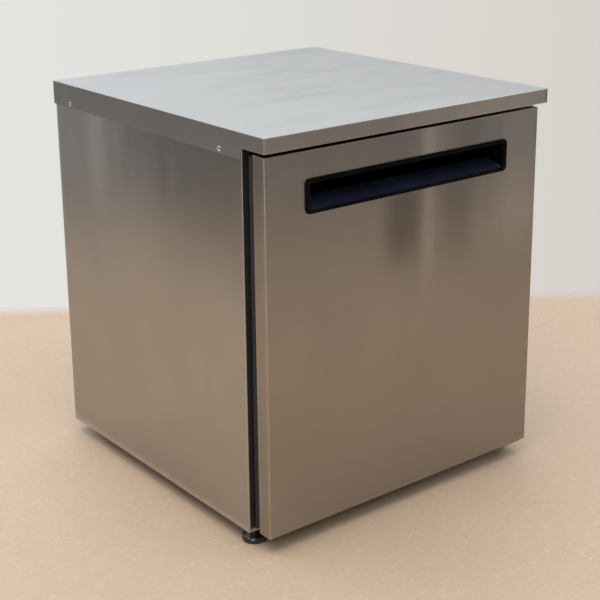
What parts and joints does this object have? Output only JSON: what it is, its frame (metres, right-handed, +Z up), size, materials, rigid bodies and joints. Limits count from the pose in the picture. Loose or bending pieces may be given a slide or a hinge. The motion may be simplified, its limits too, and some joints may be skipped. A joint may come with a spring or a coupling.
{
  "type": "under counter fridge",
  "caption": "Under counter refrigerator with a flat worktop, a hinged door with a recessed handle, wire shelves, a rear cooling unit and levelling feet.",
  "frame": {"origin": "on the floor, at the middle of the footprint", "axes": "+X to the right of someone facing the door, the door faces -Y, +Z up"},
  "size_m": [0.6932, 0.722, 0.778],
  "materials": {
    "stainless_steel": "satin",
    "bright_fastener": "polished",
    "galvanised_steel": "satin",
    "composite_board": "matte",
    "black_plastic": "matte",
    "gloss_black_plastic": "gloss",
    "polyurethane_foam": "matte",
    "aluminium_liner": "satin",
    "white_plastic": "satin",
    "shelf_steel": "gloss",
    "dark_steel": "satin",
    "copper": "satin",
    "foot_plastic": "gloss",
    "black_rubber": "matte",
    "magnet_strip": "matte"
  },
  "bodies": {
    "cabinet": {"worktop": "stainless_steel", "worktop_core": "composite_board", "worktop_screws": "bright_fastener", "side_panel_left": "stainless_steel", "side_panel_right": "stainless_steel", "rear_panel": "galvanised_steel", "cabinet_top_panel": "galvanised_steel", "base_pan": "galvanised_steel", "front_frame": "galvanised_steel", "breaker_frame": "black_plastic", "foam_insulation": "polyurethane_foam", "inner_liner": "aluminium_liner", "machine_compartment_wall": "galvanised_steel", "shelf_pilasters": "shelf_steel", "pilaster_screws": "bright_fastener", "shelf_clips": "shelf_steel", "evaporator_housing": "aluminium_liner", "evaporator_coil": "aluminium_liner", "evaporator_fan_motor": "dark_steel", "evaporator_fan_guard": "shelf_steel", "drain_tube": "white_plastic", "thermostat_body": "white_plastic", "hinge_bracket_top": "dark_steel", "hinge_bracket_bottom": "dark_steel", "hinge_screws": "bright_fastener", "condensing_unit_base": "galvanised_steel", "compressor": "dark_steel", "compressor_mounts": "black_rubber", "compressor_bolts": "bright_fastener", "compressor_relay_box": "black_plastic", "condenser_coil": "dark_steel", "condenser_fan_shroud": "galvanised_steel", "condenser_fan_motor": "dark_steel", "filter_drier": "copper", "suction_line": "copper", "discharge_line": "copper", "liquid_line": "copper", "condensate_pan": "black_plastic", "electrical_box": "galvanised_steel", "power_inlet": "black_plastic", "rear_cover": "galvanised_steel", "rear_cover_screws": "bright_fastener", "leg_sockets": "galvanised_steel"},
    "door": {"door_skin": "stainless_steel", "door_foam": "polyurethane_foam", "door_liner": "white_plastic", "door_handle": "gloss_black_plastic", "door_gasket": "black_rubber", "gasket_magnets": "magnet_strip", "hinge_bush_top": "white_plastic", "hinge_bush_bottom": "white_plastic"},
    "shelf_upper": {"wire_shelf_upper": "shelf_steel"},
    "shelf_lower": {"wire_shelf_lower": "shelf_steel"},
    "evaporator_fan": {"evaporator_fan_blade": "black_plastic"},
    "condenser_fan": {"condenser_fan_blade": "black_plastic"},
    "thermostat_dial": {"thermostat_knob": "gloss_black_plastic"},
    "foot_front_left": {"leg_front_left": "foot_plastic"},
    "foot_front_right": {"leg_front_right": "foot_plastic"},
    "foot_rear_left": {"leg_rear_left": "foot_plastic"},
    "foot_rear_right": {"leg_rear_right": "foot_plastic"}
  },
  "joints": [
    {"name": "door_hinge", "type": "hinge", "parent": "cabinet", "child": "door", "pos_m": [0.324, -0.331, 0.39], "axis": [0, 0, 1], "range_deg": [0, 110], "stiffness_Nm_per_rad": 0.6, "springref_deg": -28.65},
    {"name": "shelf_upper_lift", "type": "slide", "parent": "cabinet", "child": "shelf_upper", "axis": [0, 0, 1], "range_m": [0, 0.03]},
    {"name": "shelf_lower_lift", "type": "slide", "parent": "cabinet", "child": "shelf_lower", "axis": [0, 0, 1], "range_m": [0, 0.03]},
    {"name": "evaporator_fan_spin", "type": "hinge", "parent": "cabinet", "child": "evaporator_fan", "pos_m": [-0.095, 0.17, 0.626], "axis": [0, -1, 0], "continuous": true},
    {"name": "condenser_fan_spin", "type": "hinge", "parent": "cabinet", "child": "condenser_fan", "pos_m": [-0.21, 0.24, 0.15], "axis": [1, 0, 0], "continuous": true},
    {"name": "thermostat_turn", "type": "hinge", "parent": "cabinet", "child": "thermostat_dial", "pos_m": [0.185, 0.135, 0.626], "axis": [0, -1, 0], "range_deg": [0, 300]},
    {"name": "foot_front_left_height", "type": "slide", "parent": "cabinet", "child": "foot_front_left", "axis": [0, 0, -1], "range_m": [0, 0.012]},
    {"name": "foot_front_right_height", "type": "slide", "parent": "cabinet", "child": "foot_front_right", "axis": [0, 0, -1], "range_m": [0, 0.012]},
    {"name": "foot_rear_left_height", "type": "slide", "parent": "cabinet", "child": "foot_rear_left", "axis": [0, 0, -1], "range_m": [0, 0.012]},
    {"name": "foot_rear_right_height", "type": "slide", "parent": "cabinet", "child": "foot_rear_right", "axis": [0, 0, -1], "range_m": [0, 0.012]}
  ]
}
